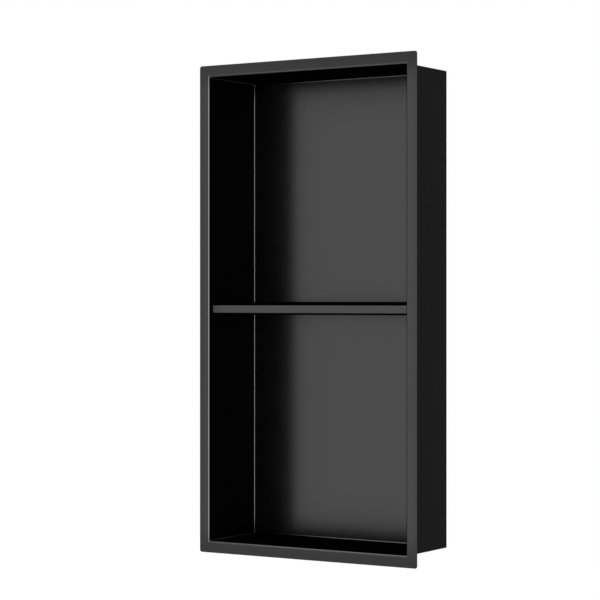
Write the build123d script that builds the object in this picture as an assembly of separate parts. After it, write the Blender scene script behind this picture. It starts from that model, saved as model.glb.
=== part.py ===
from build123d import *
import os

# A recessed shower niche: a folded sheet tray with a flange round its front, and one fixed shelf.
# The origin is the middle of the opening, in the plane where the flange's back meets the wall.
# +X is to the right as seen from the room, +Y goes into the wall and +Z is up.

# Driving dimensions, in millimetres
OVERALL_WIDTH = 311.0  # across the flange
OVERALL_HEIGHT = 610.0  # up the flange
OVERALL_DEPTH = 102.0  # from the flange's front to the back panel's outside
SHEET = 1.2  # thickness of the tray's sheet
FLANGE_WIDTH = 15.0  # from the flange's free edge to the inside of the wall
FLANGE_CORNER_RADIUS = 3.0
BEND_INSIDE = 1.5  # inside radius of the tray's bends

SHELF_SHEET = 1.2  # thickness of the shelf's sheet
SHELF_SETBACK = 5.0  # from the flange's front to the shelf's front
SHELF_FRONT_HEIGHT = 9.5
SHELF_MIDDLE_Z = 0.0  # height of the middle of the shelf's front
SHELF_TOP_RISE = 4.25  # the top climbs by this to the back, so that water runs off forwards
SHELF_UNDERSIDE_DROP = 2.85  # the underside falls by this to the back
SHELF_FOLD_OUTSIDE = 0.8  # outside radius of the shelf's two folds
SHELF_CORNER_CLEARANCE = 0.5  # added to the tray's bend radius at the shelf's back corners

# Sizes that follow
OPENING_WIDTH = OVERALL_WIDTH - 2 * FLANGE_WIDTH
OPENING_HEIGHT = OVERALL_HEIGHT - 2 * FLANGE_WIDTH
BEND_OUTSIDE = BEND_INSIDE + SHEET
FLANGE_FRONT_Y = -SHEET
BACK_OUTSIDE_Y = FLANGE_FRONT_Y + OVERALL_DEPTH
BACK_INSIDE_Y = BACK_OUTSIDE_Y - SHEET
BACK_RETURN = 2 * BEND_INSIDE  # strip of the back panel that belongs to each folded side


def folded_side_section():
    """Section of one side of the tray: flange, front bend, wall, back bend, edge of the back panel.

    The first coordinate runs outwards from the wall's inside face, the second into the wall.
    """
    corners_and_radii = [
        ((FLANGE_WIDTH, FLANGE_FRONT_Y), 0),
        ((0, FLANGE_FRONT_Y), BEND_OUTSIDE),
        ((0, BACK_INSIDE_Y), BEND_INSIDE),
        ((-BACK_RETURN, BACK_INSIDE_Y), 0),
        ((-BACK_RETURN, BACK_OUTSIDE_Y), 0),
        ((SHEET, BACK_OUTSIDE_Y), BEND_OUTSIDE),
        ((SHEET, 0), BEND_INSIDE),
        ((FLANGE_WIDTH, 0), 0),
    ]
    corners, radii = zip(*corners_and_radii)
    return make_face(FilletPolyline(*corners, radius=radii, close=True))


def folded_side(opening_length):
    """One folded side, as it lies below the opening, with its two ends mitred for the corner welds."""
    across = Plane(origin=(0, 0, 0), x_dir=(0, 0, -1), z_dir=(1, 0, 0))
    side = extrude(across * folded_side_section(), opening_length / 2 + FLANGE_WIDTH, both=True)
    for end in (-1, 1):
        mitre = Plane(origin=(end * opening_length / 2, 0, 0), z_dir=(end, 0, 1))
        side = split(side, bisect_by=mitre, keep=Keep.BOTTOM)
    return side


def niche_body():
    """The tray: four folded sides round the back panel, welded into one piece at the corners."""
    back = Plane(origin=(0, BACK_OUTSIDE_Y, 0), x_dir=(1, 0, 0), z_dir=(0, -1, 0))
    panel = Rectangle(OPENING_WIDTH - 2 * BACK_RETURN, OPENING_HEIGHT - 2 * BACK_RETURN)
    body = extrude(back * panel, SHEET)
    for turn in (0, 90, 180, 270):
        upright = turn in (90, 270)
        length = OPENING_HEIGHT if upright else OPENING_WIDTH
        from_middle = (OPENING_WIDTH if upright else OPENING_HEIGHT) / 2
        body += Rot(0, turn, 0) * Pos(0, 0, -from_middle) * folded_side(length)

    def outwards(edge):
        return abs(edge.center().X) + abs(edge.center().Z)

    flange_corners = body.edges().filter_by(Axis.Y).sort_by(outwards)[-4:]
    return fillet(flange_corners, FLANGE_CORNER_RADIUS)


def shelf():
    """The shelf: one sheet folded over a wedge, open towards the back panel that closes it."""
    front_y = FLANGE_FRONT_Y + SHELF_SETBACK
    depth = BACK_INSIDE_Y - front_y
    front_top = SHELF_MIDDLE_Z + SHELF_FRONT_HEIGHT / 2
    front_bottom = SHELF_MIDDLE_Z - SHELF_FRONT_HEIGHT / 2

    def wedge(length):
        reach = length / depth
        return make_face(
            Polyline(
                (front_y, front_bottom),
                (front_y + length, front_bottom - SHELF_UNDERSIDE_DROP * reach),
                (front_y + length, front_top + SHELF_TOP_RISE * reach),
                (front_y, front_top),
                close=True,
            )
        )

    hollow = offset(wedge(depth + SHELF_SHEET), -SHELF_SHEET, kind=Kind.INTERSECTION)
    left_end = Plane(origin=(-OPENING_WIDTH / 2, 0, 0), x_dir=(0, 1, 0), z_dir=(1, 0, 0))
    sheet = extrude(left_end * (wedge(depth) - hollow), OPENING_WIDTH)

    folds = sheet.edges().filter_by(Axis.X).group_by(Axis.Y)[0]
    sheet = fillet(folds, SHELF_FOLD_OUTSIDE)
    back_corners = sheet.edges().filter_by(Axis.Z).group_by(Axis.Y)[-1]
    return fillet(back_corners, BEND_INSIDE + SHELF_CORNER_CLEARANCE)


os.makedirs("parts", exist_ok=True)
export_step(niche_body(), "parts/niche_body.step")
export_step(shelf(), "parts/shelf.step")
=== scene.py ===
from math import atan2, cos, degrees, hypot, pi, radians, sin

import bmesh
import bpy
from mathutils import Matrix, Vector


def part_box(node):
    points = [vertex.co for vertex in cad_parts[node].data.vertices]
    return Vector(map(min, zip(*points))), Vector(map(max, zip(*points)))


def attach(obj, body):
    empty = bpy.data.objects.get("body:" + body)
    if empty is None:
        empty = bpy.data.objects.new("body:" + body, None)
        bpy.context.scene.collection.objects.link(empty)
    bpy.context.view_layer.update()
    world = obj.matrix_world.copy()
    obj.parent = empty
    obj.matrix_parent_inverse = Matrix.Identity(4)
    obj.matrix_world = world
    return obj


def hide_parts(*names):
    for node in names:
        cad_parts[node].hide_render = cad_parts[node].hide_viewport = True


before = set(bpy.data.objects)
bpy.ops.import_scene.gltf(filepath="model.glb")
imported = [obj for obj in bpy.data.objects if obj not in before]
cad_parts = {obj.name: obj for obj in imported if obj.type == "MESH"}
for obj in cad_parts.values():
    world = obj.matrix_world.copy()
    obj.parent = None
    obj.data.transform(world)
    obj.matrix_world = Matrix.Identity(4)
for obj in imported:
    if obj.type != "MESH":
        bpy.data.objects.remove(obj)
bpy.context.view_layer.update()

# A shower niche insert: a folded sheet tray with a flange, and a folded shelf across it.
# Both are rebuilt here on the frame's own boxes, with smooth bends, broken edges and welded seams.
# Lengths are in metres. +X is to the right as seen from the room, +Y goes into the wall, +Z is up.

MM = 0.001
WHITE = (1.0, 1.0, 1.0, 1.0)

# Sizes read from the frame
BODY_LOW, BODY_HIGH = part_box("niche_body")
SHELF_LOW, SHELF_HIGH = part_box("shelf")
OPENING_HALF_WIDTH = SHELF_HIGH[0]
FLANGE_WIDTH = BODY_HIGH[0] - OPENING_HALF_WIDTH
OPENING_HALF_HEIGHT = BODY_HIGH[2] - FLANGE_WIDTH
FLANGE_FRONT_Y = BODY_LOW[1]
BACK_OUTSIDE_Y = BODY_HIGH[1]
BACK_INSIDE_Y = SHELF_HIGH[1]
SHEET = BACK_OUTSIDE_Y - BACK_INSIDE_Y
SHELF_FRONT_Y = SHELF_LOW[1]

# Sizes that the boxes don't give
BEND_INSIDE = 1.5 * MM
BEND_OUTSIDE = BEND_INSIDE + SHEET
FLANGE_CORNER_RADIUS = 3.0 * MM
EDGE_BREAK = 0.25 * MM  # rounding of the sheet's free edges
SEAM_INSIDE = 0.6 * MM  # radius of the ground weld in the tray's inner corners
SEAM_OUTSIDE = 0.9 * MM
SHELF_FRONT_HEIGHT = 9.5 * MM
SHELF_FOLD_OUTSIDE = 0.8 * MM
SHELF_FOLD_INSIDE = 0.3 * MM
SHELF_BACK_CORNER = 2.0 * MM  # plan radius that clears the tray's back bends

# How finely curves are divided, and how they are shaded
BEND_STEPS = 12
EDGE_STEPS = 4
CORNER_STEPS = 8
SHELF_FOLD_STEPS = 8
SHARP_ANGLE = radians(35)
FLAT_WEIGHT = 100  # makes the flats rule the shading along their edges

# Bend marks, which the coat reads. In the photo, part of the tray's left bends shines and the rest of
# them is dull, while its other bends look like the flats beside them.
# The marks paint light into the coat's gloss: a painted highlight over the shiny share of the left
# bends, and painted shade over the rest of their turn.
FRONT_SHINY = (0.62, 0.90)  # share of the front bend's turn, counted from the wall
BACK_SHINY = (0.0, 0.34)  # share of the back bend's turn, counted from the back panel
SHADED = -0.25  # mark on the rest of the turn, painted shade that takes the gloss away there
RIM_HIGHLIGHT = 0.25  # mark on the flange's rim and the tray's outside: extra gloss, a painted highlight along those edges

# The satin black coat. Each noise is (scale, detail), and its span is stretched over a range.
COAT_GREY = (0.0005, 0.0013)
MOTTLE_NOISE = (30.0, 3.0)
MOTTLE_SPAN = (0.35, 0.65)
COAT_ROUGHNESS = (0.200, 0.230)
DRIFT_NOISE = (60.0, 5.0)
DRIFT_SPAN = (0.3, 0.7)
COAT_GLOSS = ((0.22, 0.418), (0.40, 0.045), (0.52, 0.017), (0.75, 0.0))  # (turned away, level)
PEEL_NOISE = (700.0, 2.0)
PEEL_STRENGTH = 0.12
PEEL_HEIGHT = 0.2 * MM
BEND_GLOSS = 4.0  # gloss that a full bend mark adds, as a multiple of the flats' gloss; it makes the painted highlight
BEND_SMOOTHING = 0.04  # roughness that a full bend mark takes off
WELD_PAINTED_HIGHLIGHT = 0.045  # grey that a weld mark adds, a painted highlight along the welded inner corners
WELD_ROUGHNESS = 0.3  # roughness that a weld mark adds

# Floor and lights. A radiance of 1 is that of the white surround.
FLOOR_GAP = 0.12  # from the hanging insert down to the floor
FLOOR_HALF = 1.0
FLOOR_ROUGHNESS = 0.8
PANEL_PLACE = (-0.085, -0.15, 0.0)
PANEL_AIM = (-0.085, 0.0, 0.0)
PANEL_SIZE = (0.330, 0.605)
PANEL_RADIANCE = 1.04
FILL_PLACE = (-0.76, -0.76, 0.90)
FILL_AIM = (0.0, 0.0, 0.0)
FILL_SIZE = (0.6, 0.6)
FILL_RADIANCE = 4.5

# Camera fitted to the photo, which was taken level
CAMERA_AZIMUTH = radians(32.157)
CAMERA_DISTANCE = 2.50028
CAMERA_TARGET = Vector((-0.0069, FLANGE_FRONT_Y, 0.0114))
CAMERA_LENS = 123.12
CAMERA_SENSOR = 36.0


def arc(centre, radius, start, end, steps, shiny=(0.0, 1.0)):
    """Points of an arc in a plane, both ends included, with its angles in degrees.

    The third number marks the points inside the arc: 1 over the shiny share of it, SHADED over the
    rest. Its ends stay unmarked, and so do the flat faces beside it.
    """
    points = []
    for i in range(steps + 1):
        share = i / steps
        turn = radians(start + (end - start) * share)
        if i in (0, steps):
            mark = 0.0
        elif shiny[0] < share < shiny[1]:
            mark = 1.0
        else:
            mark = SHADED
        points.append((centre[0] + radius * cos(turn), centre[1] + radius * sin(turn), mark))
    return points


def mesh_piece(name, node, vertices, faces, marks):
    """A mesh piece that stands for a CAD node. Its bends are shaded smooth and its flats flat."""
    mesh = bpy.data.meshes.new(name)
    mesh.from_pydata(vertices, [], faces)
    bm = bmesh.new()
    bm.from_mesh(mesh)
    bmesh.ops.recalc_face_normals(bm, faces=bm.faces)
    for face in bm.faces:
        face.smooth = True
    bm.to_mesh(mesh)
    bm.free()
    mesh.set_sharp_from_angle(angle=SHARP_ANGLE)
    for mark, values in marks.items():
        mesh.attributes.new(mark, "FLOAT", "POINT").data.foreach_set("value", values)
    piece = bpy.data.objects.new(name, mesh)
    bpy.context.scene.collection.objects.link(piece)
    weighted = piece.modifiers.new("flats_stay_flat", "WEIGHTED_NORMAL")
    weighted.weight = FLAT_WEIGHT
    weighted.keep_sharp = True
    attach(piece, "root")
    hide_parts(node)
    return piece


def tray_section():
    """Rings of the tray: (outwards, y, plan corner radius, bend mark, in a seam, in the room).

    They run from the back panel's inside over the flange's rim to the back panel's outside.
    """
    front_bend = (BEND_OUTSIDE, FLANGE_FRONT_Y + BEND_OUTSIDE)
    back_bend = (-BEND_INSIDE, BACK_INSIDE_Y - BEND_INSIDE)
    rim = FLANGE_WIDTH - EDGE_BREAK
    rim_front = (rim, FLANGE_FRONT_Y + EDGE_BREAK)
    rim_back = (rim, -EDGE_BREAK)
    inside = arc(back_bend, BEND_INSIDE, 90, 0, BEND_STEPS, BACK_SHINY)
    inside += arc(front_bend, BEND_OUTSIDE, 180, 270, BEND_STEPS, FRONT_SHINY)
    edge = arc(rim_front, EDGE_BREAK, 270, 360, EDGE_STEPS)
    edge += arc(rim_back, EDGE_BREAK, 0, 90, EDGE_STEPS)
    outside = arc(front_bend, BEND_INSIDE, 270, 180, BEND_STEPS)
    outside += arc(back_bend, BEND_OUTSIDE, 0, 90, BEND_STEPS)
    rings = []
    for run, seam_radius in ((inside, SEAM_INSIDE), (edge, None), (outside, SEAM_OUTSIDE)):
        for i, (outwards, y, bend) in enumerate(run):
            if seam_radius is None:
                radius = FLANGE_CORNER_RADIUS - FLANGE_WIDTH + outwards
                rings.append((outwards, y, radius, bend, 0.0, False))
            else:
                seam = 0.0 if i in (0, len(run) - 1) else 1.0
                rings.append((outwards, y, seam_radius, bend, seam, run is inside))
    return rings


def painted_highlight_side(rightwards):
    """How far a bend in the room carries the painted highlight: fully on the left, not at all on the
    right or level.
    """
    return (rightwards**2 - rightwards) / 2


def tray():
    """The tray: its section carried round the opening, and closed by the back panel's two faces."""
    vertices = []
    marks = {"bend": [], "weld": []}
    rings = tray_section()
    for outwards, y, radius, bend, seam, in_room in rings:
        half_width = OPENING_HALF_WIDTH + outwards - radius
        half_height = OPENING_HALF_HEIGHT + outwards - radius
        for quarter, (side, up) in enumerate(((1, 1), (-1, 1), (-1, -1), (1, -1))):
            corner = (side * half_width, up * half_height)
            for x, z, in_corner in arc(corner, radius, 90 * quarter, 90 * quarter + 90, CORNER_STEPS):
                vertices.append((x, y, z))
                # Painted highlight: full on the tray's left bends, none on its right or level ones, and
                # a softer one on the rim and the outside.
                highlight_weight = painted_highlight_side((x - corner[0]) / radius) if in_room else RIM_HIGHLIGHT
                marks["bend"].append(bend * highlight_weight)
                marks["weld"].append(seam * in_corner)
    count = len(vertices) // len(rings)
    faces = [tuple(range(count)), tuple(range(len(vertices) - count, len(vertices)))]
    for start in range(0, len(vertices) - count, count):
        for i in range(count):
            j = (i + 1) % count
            faces.append((start + i, start + j, start + count + j, start + count + i))
    return mesh_piece("folded_tray", "niche_body", vertices, faces, marks)


def shelf_contour(inset, fold):
    """One face of the shelf's sheet as (half width, y, z).

    It runs from the back edge of the top, round the front, to the back edge of the underside.
    """
    depth = BACK_INSIDE_Y - SHELF_FRONT_Y
    half_front = SHELF_FRONT_HEIGHT / 2
    plan_corner = (OPENING_HALF_WIDTH - SHELF_BACK_CORNER, BACK_INSIDE_Y - SHELF_BACK_CORNER)
    contour = []
    for up, back_z in ((1, SHELF_HIGH[2]), (-1, -SHELF_LOW[2])):
        rise = (back_z - half_front) / depth
        lean = degrees(atan2(rise, 1))
        stretch = hypot(1, rise)
        plate = []
        for x, y, _ in arc(plan_corner, SHELF_BACK_CORNER, 90, 0, CORNER_STEPS):
            z = half_front + rise * (y - SHELF_FRONT_Y) - inset * stretch
            plate.append((x, y, up * z))
        y_centre = SHELF_FRONT_Y + inset + fold
        z_centre = half_front + rise * (inset + fold) - (inset + fold) * stretch
        for y, z, _ in arc((y_centre, z_centre), fold, 90 + lean, 180, SHELF_FOLD_STEPS):
            plate.append((OPENING_HALF_WIDTH, y, up * z))
        contour += plate if up > 0 else plate[::-1]
    return contour


def shelf():
    """The shelf: one sheet folded over a wedge, open towards the back panel. It carries no marks."""
    outer = shelf_contour(0, SHELF_FOLD_OUTSIDE)
    inner = shelf_contour(SHEET, SHELF_FOLD_INSIDE)
    vertices = []
    for contour in (outer, inner):
        for side in (-1, 1):
            vertices += [(side * x, y, z) for x, y, z in contour]
    unmarked = [0.0] * len(vertices)
    n = len(outer)
    out_left, out_right, in_left, in_right = 0, n, 2 * n, 3 * n
    faces = []
    for a, b in ((out_left, out_right), (out_right, in_right), (in_right, in_left), (in_left, out_left)):
        for i in range(n - 1):
            faces.append((a + i, a + i + 1, b + i + 1, b + i))
    for end in (0, n - 1):
        faces.append((out_left + end, out_right + end, in_right + end, in_left + end))
    return mesh_piece("folded_shelf", "shelf", vertices, faces, {"bend": unmarked, "weld": unmarked})


class Nodes:
    """Short names for building a material's node tree."""

    def __init__(self, material):
        material.use_nodes = True
        self.tree = material.node_tree
        self.shader = self.tree.nodes["Principled BSDF"]

    def feed(self, socket, value):
        if isinstance(value, bpy.types.NodeSocket):
            self.tree.links.new(value, socket)
        else:
            socket.default_value = value

    def add(self, kind, **sockets):
        node = self.tree.nodes.new(kind)
        for name, value in sockets.items():
            self.feed(node.inputs[name.replace("_", " ")], value)
        return node

    def noise(self, scale, detail):
        place = self.add("ShaderNodeTexCoord").outputs["Object"]
        return self.add("ShaderNodeTexNoise", Vector=place, Scale=scale, Detail=detail).outputs["Fac"]

    def mark(self, name):
        node = self.add("ShaderNodeAttribute")
        node.attribute_name = name
        return node.outputs["Fac"]

    def stretch(self, value, span, over):
        """Maps a value that runs over a span to one that runs over a range."""
        ends = {"From_Min": span[0], "From_Max": span[1], "To_Min": over[0], "To_Max": over[1]}
        return self.add("ShaderNodeMapRange", Value=value, **ends).outputs["Result"]

    def maths(self, operation, a, b):
        node = self.add("ShaderNodeMath")
        node.operation = operation
        self.feed(node.inputs[0], a)
        self.feed(node.inputs[1], b)
        return node.outputs["Value"]

    def ramp(self, value, stops):
        """Grey levels along a value, given as (position, level)."""
        node = self.add("ShaderNodeValToRGB", Fac=value)
        elements = node.color_ramp.elements
        while len(elements) < len(stops):
            elements.new(1.0)
        for element, (position, level) in zip(elements, stops):
            element.position = position
            element.color = (level, level, level, 1)
        return node.outputs["Color"]

    def to(self, socket, value):
        self.feed(self.shader.inputs[socket], value)


def black_coat():
    """Satin black coat on sheet.

    It has a fine orange peel and a gloss that drifts over the sheet. Extra gloss along part of the
    left bends and on the rims is a painted highlight, and the gloss taken off the rest of those bends
    is painted shade. Along the ground welds it is dull, with a rougher finish and a paler grey that is
    a painted highlight. It turns matt at glancing angles.
    """
    material = bpy.data.materials.new("satin_black_coat")
    n = Nodes(material)
    bend = n.mark("bend")
    weld = n.mark("weld")

    mottle = n.stretch(n.noise(*MOTTLE_NOISE), MOTTLE_SPAN, COAT_GREY)
    # The paler grey along the welds is a painted highlight. Their extra roughness is the welds' own.
    n.to("Base Color", n.maths("ADD", mottle, n.maths("MULTIPLY", weld, WELD_PAINTED_HIGHLIGHT)))

    drift = n.stretch(n.noise(*DRIFT_NOISE), DRIFT_SPAN, COAT_ROUGHNESS)
    bend_smoothed = n.maths("SUBTRACT", drift, n.maths("MULTIPLY", bend, BEND_SMOOTHING))
    n.to("Roughness", n.maths("ADD", bend_smoothed, n.maths("MULTIPLY", weld, WELD_ROUGHNESS)))

    turned_away = n.add("ShaderNodeLayerWeight").outputs["Facing"]
    # Bend marks raise the gloss into a painted highlight, and SHADED marks take it away as painted
    # shade.
    highlight_and_shade_gain = n.maths("ADD", 1.0, n.maths("MULTIPLY", bend, BEND_GLOSS))
    n.to("Specular IOR Level", n.maths("MULTIPLY", n.ramp(turned_away, COAT_GLOSS), highlight_and_shade_gain))

    grain = n.noise(*PEEL_NOISE)
    peel = n.add("ShaderNodeBump", Height=grain, Strength=PEEL_STRENGTH, Distance=PEEL_HEIGHT)
    n.to("Normal", peel.outputs["Normal"])
    return material


def floor():
    """A plain white floor below the hanging insert."""
    z = BODY_LOW[2] - FLOOR_GAP
    signs = ((-1, -1), (1, -1), (1, 1), (-1, 1))
    mesh = bpy.data.meshes.new("floor")
    mesh.from_pydata([(x * FLOOR_HALF, y * FLOOR_HALF, z) for x, y in signs], [], [(0, 1, 2, 3)])
    material = bpy.data.materials.new("floor_paint")
    n = Nodes(material)
    n.to("Base Color", WHITE)
    n.to("Roughness", FLOOR_ROUGHNESS)
    n.to("Specular IOR Level", 0.0)
    mesh.materials.append(material)
    plane = bpy.data.objects.new("floor", mesh)
    bpy.context.scene.collection.objects.link(plane)


def softbox(name, place, aim, size, radiance):
    """A rectangular lamp that the camera doesn't see."""
    light = bpy.data.lights.new(name, "AREA")
    light.shape = "RECTANGLE"
    light.size, light.size_y = size
    light.energy = radiance * pi * light.size * light.size_y
    lamp = bpy.data.objects.new(name, light)
    lamp.location = place
    lamp.rotation_euler = (Vector(aim) - Vector(place)).to_track_quat("-Z", "Z").to_euler()
    lamp.visible_camera = False
    bpy.context.scene.collection.objects.link(lamp)
    return lamp


def lights():
    """A white surround, a panel that the front reflects and a fill from above left."""
    world = bpy.data.worlds.new("white_studio")
    bpy.context.scene.world = world
    world.use_nodes = True
    background = world.node_tree.nodes["Background"]
    background.inputs["Color"].default_value = WHITE
    background.inputs["Strength"].default_value = 1.0

    panel = softbox("near_panel", PANEL_PLACE, PANEL_AIM, PANEL_SIZE, PANEL_RADIANCE)
    panel.visible_diffuse = False  # it is only reflected
    softbox("fill", FILL_PLACE, FILL_AIM, FILL_SIZE, FILL_RADIANCE)


def camera():
    """A level camera to the front right of the insert."""
    lens = bpy.data.cameras.new("camera")
    lens.lens = CAMERA_LENS
    lens.sensor_width = CAMERA_SENSOR
    eye = bpy.data.objects.new("camera", lens)
    back = Vector((sin(CAMERA_AZIMUTH), -cos(CAMERA_AZIMUTH), 0))
    eye.location = CAMERA_TARGET + back * CAMERA_DISTANCE
    eye.rotation_euler = (radians(90), 0, CAMERA_AZIMUTH)
    bpy.context.scene.collection.objects.link(eye)
    bpy.context.scene.camera = eye


bpy.context.scene.view_settings.view_transform = "Standard"
coat = black_coat()
for piece in (tray(), shelf()):
    piece.data.materials.append(coat)
floor()
lights()
camera()
